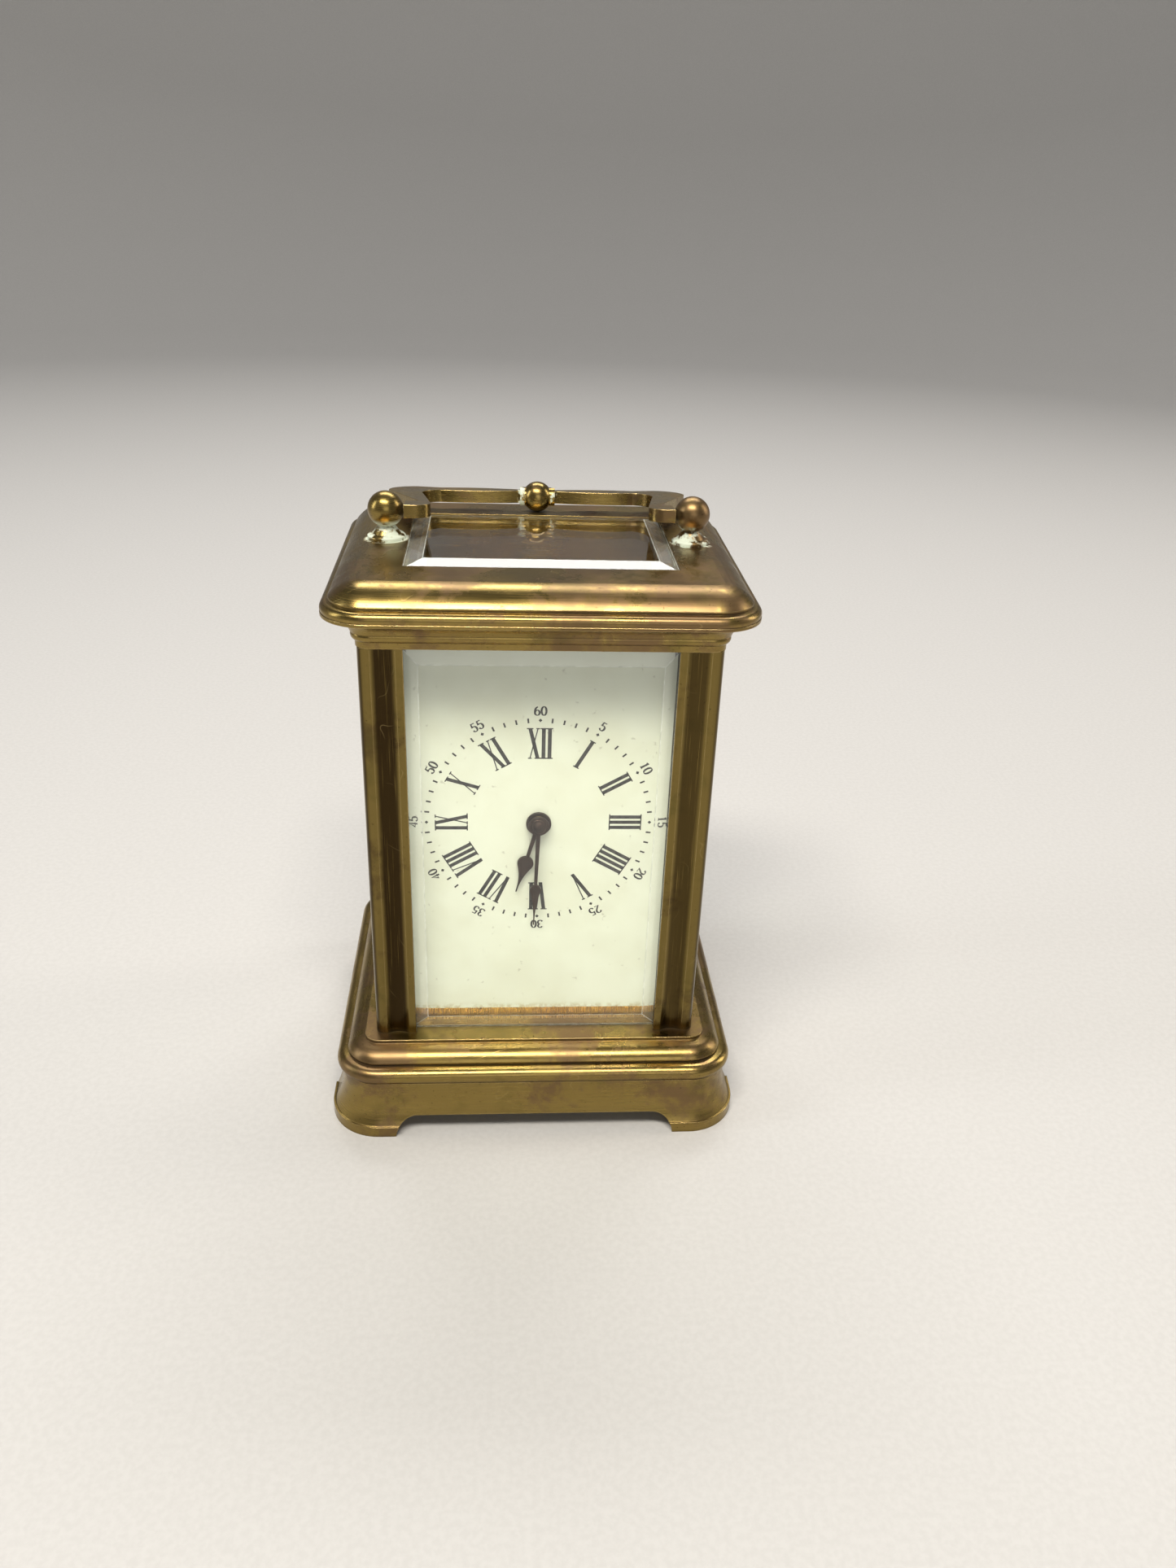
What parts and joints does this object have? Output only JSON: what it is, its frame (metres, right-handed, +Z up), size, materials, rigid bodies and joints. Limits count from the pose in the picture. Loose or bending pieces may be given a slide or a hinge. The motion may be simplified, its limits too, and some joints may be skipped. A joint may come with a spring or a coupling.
{
  "type": "carriage clock",
  "caption": "Brass carriage clock: four fluted pillars, bevelled glasses, enamel dial, folding carrying handle, glazed back door and a spring-driven movement with a platform escapement.",
  "frame": {"origin": "centre of the footprint, at the level of the feet", "axes": "+Z up, the dial faces -Y, +X to the right for someone reading the dial"},
  "size_m": [0.08, 0.07, 0.1174],
  "materials": {
    "case_brass": "cast and turned brass, polished long ago, now tarnished olive-gold with pinkish-brown patina in the recesses",
    "movement_brass": "fine-grained lacquered movement brass",
    "movement_steel": "polished steel",
    "hand_steel": "blackened steel, satin",
    "spring_steel": "blued spring steel",
    "enamel": "smooth cream-white vitreous enamel",
    "jewel": "polished ruby-coloured stone",
    "bevelled_glass": "clear plate glass with ground and polished bevels"
  },
  "bodies": {
    "case": {"balance_cock": "movement_brass", "base": "case_brass", "case_screws": "movement_steel", "click_screw": "movement_steel", "click_spring": "movement_steel", "dial": "enamel", "dial_backing": "movement_brass", "dial_feet": "movement_brass", "escape_bridge": "movement_brass", "glass_front": "bevelled_glass", "glass_left": "bevelled_glass", "glass_right": "bevelled_glass", "glass_top": "bevelled_glass", "jewels": "jewel", "lower_potence": "movement_brass", "minute_wheel_stud": "movement_steel", "movement_back_plate": "movement_brass", "movement_front_plate": "movement_brass", "movement_pillars": "movement_brass", "movement_seat_screws": "movement_steel", "pillar_back_left": "case_brass", "pillar_back_right": "case_brass", "pillar_front_left": "case_brass", "pillar_front_right": "case_brass", "plate_screws": "movement_steel", "platform": "movement_brass", "platform_screws": "movement_steel", "post_left": "case_brass", "post_right": "case_brass", "top_frame": "case_brass"},
    "handle": {"handle_bail": "case_brass", "handle_ball": "case_brass", "handle_pins": "case_brass"},
    "back_door": {"door_frame": "case_brass", "door_glass": "bevelled_glass", "door_pins": "case_brass", "door_knob": "case_brass"},
    "minute": {"centre_arbor": "movement_steel", "cannon_pinion": "movement_brass", "minute_hand": "hand_steel"},
    "hour": {"hour_wheel": "movement_brass", "hour_hand": "hand_steel"},
    "minute_work": {"minute_wheel": "movement_brass"},
    "barrel": {"barrel": "movement_brass", "barrel_cover": "movement_brass", "mainspring": "movement_steel"},
    "winding": {"winding_arbor": "movement_steel", "ratchet_wheel": "movement_steel"},
    "click": {"click": "movement_steel"},
    "centre": {"centre_wheel": "movement_brass"},
    "third": {"third_arbor": "movement_steel", "third_wheel": "movement_brass"},
    "fourth": {"fourth_arbor": "movement_steel", "contrate_wheel": "movement_brass"},
    "escape": {"escape_arbor": "movement_steel", "escape_wheel": "movement_brass"},
    "balance": {"balance_staff": "movement_steel", "balance_wheel": "movement_brass", "hairspring": "spring_steel"},
    "regulator": {"regulator": "movement_steel"}
  },
  "joints": [
    {"name": "handle_fold", "type": "hinge", "parent": "case", "child": "handle", "pos_m": [0, 0, 0.11417], "axis": [1, 0, 0], "range_deg": [0, 192]},
    {"name": "back_door_hinge", "type": "hinge", "parent": "case", "child": "back_door", "pos_m": [0.02175, 0.02415, 0.0578], "axis": [0, 0, -1], "range_deg": [0, 90]},
    {"name": "minute_hand_turn", "type": "hinge", "parent": "case", "child": "minute", "pos_m": [0, -0.0204, 0.0623], "axis": [0, 1, 0], "continuous": true},
    {"name": "hour_hand_turn", "type": "hinge", "parent": "case", "child": "hour", "pos_m": [0, -0.0204, 0.0623], "axis": [0, 1, 0], "continuous": true},
    {"name": "minute_wheel_turn", "type": "hinge", "parent": "case", "child": "minute_work", "pos_m": [0.0036, -0.0189, 0.05606], "axis": [0, 1, 0], "continuous": true},
    {"name": "fourth_wheel_turn", "type": "hinge", "parent": "case", "child": "fourth", "pos_m": [-0.00262, -0.0016, 0.07463], "axis": [0, 1, 0], "continuous": true},
    {"name": "escape_wheel_turn", "type": "hinge", "parent": "case", "child": "escape", "pos_m": [-0.00262, 0.00101, 0.0867], "axis": [0, 0, 1], "continuous": true},
    {"name": "third_wheel_turn", "type": "hinge", "parent": "case", "child": "third", "pos_m": [0.0081, -0.0096, 0.07195], "axis": [0, 1, 0], "continuous": true},
    {"name": "centre_wheel_turn", "type": "hinge", "parent": "case", "child": "centre", "pos_m": [0, 0.001, 0.0623], "axis": [0, 1, 0], "continuous": true},
    {"name": "barrel_turn", "type": "hinge", "parent": "case", "child": "barrel", "pos_m": [0, -0.0134, 0.0461], "axis": [0, 1, 0], "continuous": true},
    {"name": "winding_turn", "type": "hinge", "parent": "case", "child": "winding", "pos_m": [0, 0.0108, 0.0461], "axis": [0, 1, 0], "continuous": true},
    {"name": "click_lift", "type": "hinge", "parent": "case", "child": "click", "pos_m": [0.00505, 0.0108, 0.05256], "axis": [0, 1, 0], "range_deg": [0, 20], "stiffness_Nm_per_rad": 0.00002, "springref_deg": -11.46},
    {"name": "balance_swing", "type": "hinge", "parent": "case", "child": "balance", "pos_m": [0, -0.00383, 0.0867], "axis": [0, 0, 1], "range_deg": [-120, 120], "stiffness_Nm_per_rad": 0.00001},
    {"name": "regulator_turn", "type": "hinge", "parent": "case", "child": "regulator", "pos_m": [0, -0.00383, 0.0867], "axis": [0, 0, 1], "range_deg": [-20, 20]}
  ],
  "couplings": [
    {"joint": "minute_hand_turn", "follows": "centre_wheel_turn", "ratio": 1},
    {"joint": "hour_hand_turn", "follows": "centre_wheel_turn", "ratio": 0.083333},
    {"joint": "minute_wheel_turn", "follows": "centre_wheel_turn", "ratio": -0.33333},
    {"joint": "third_wheel_turn", "follows": "centre_wheel_turn", "ratio": -8},
    {"joint": "fourth_wheel_turn", "follows": "centre_wheel_turn", "ratio": 60},
    {"joint": "escape_wheel_turn", "follows": "centre_wheel_turn", "ratio": 600},
    {"joint": "barrel_turn", "follows": "centre_wheel_turn", "ratio": -0.125}
  ]
}
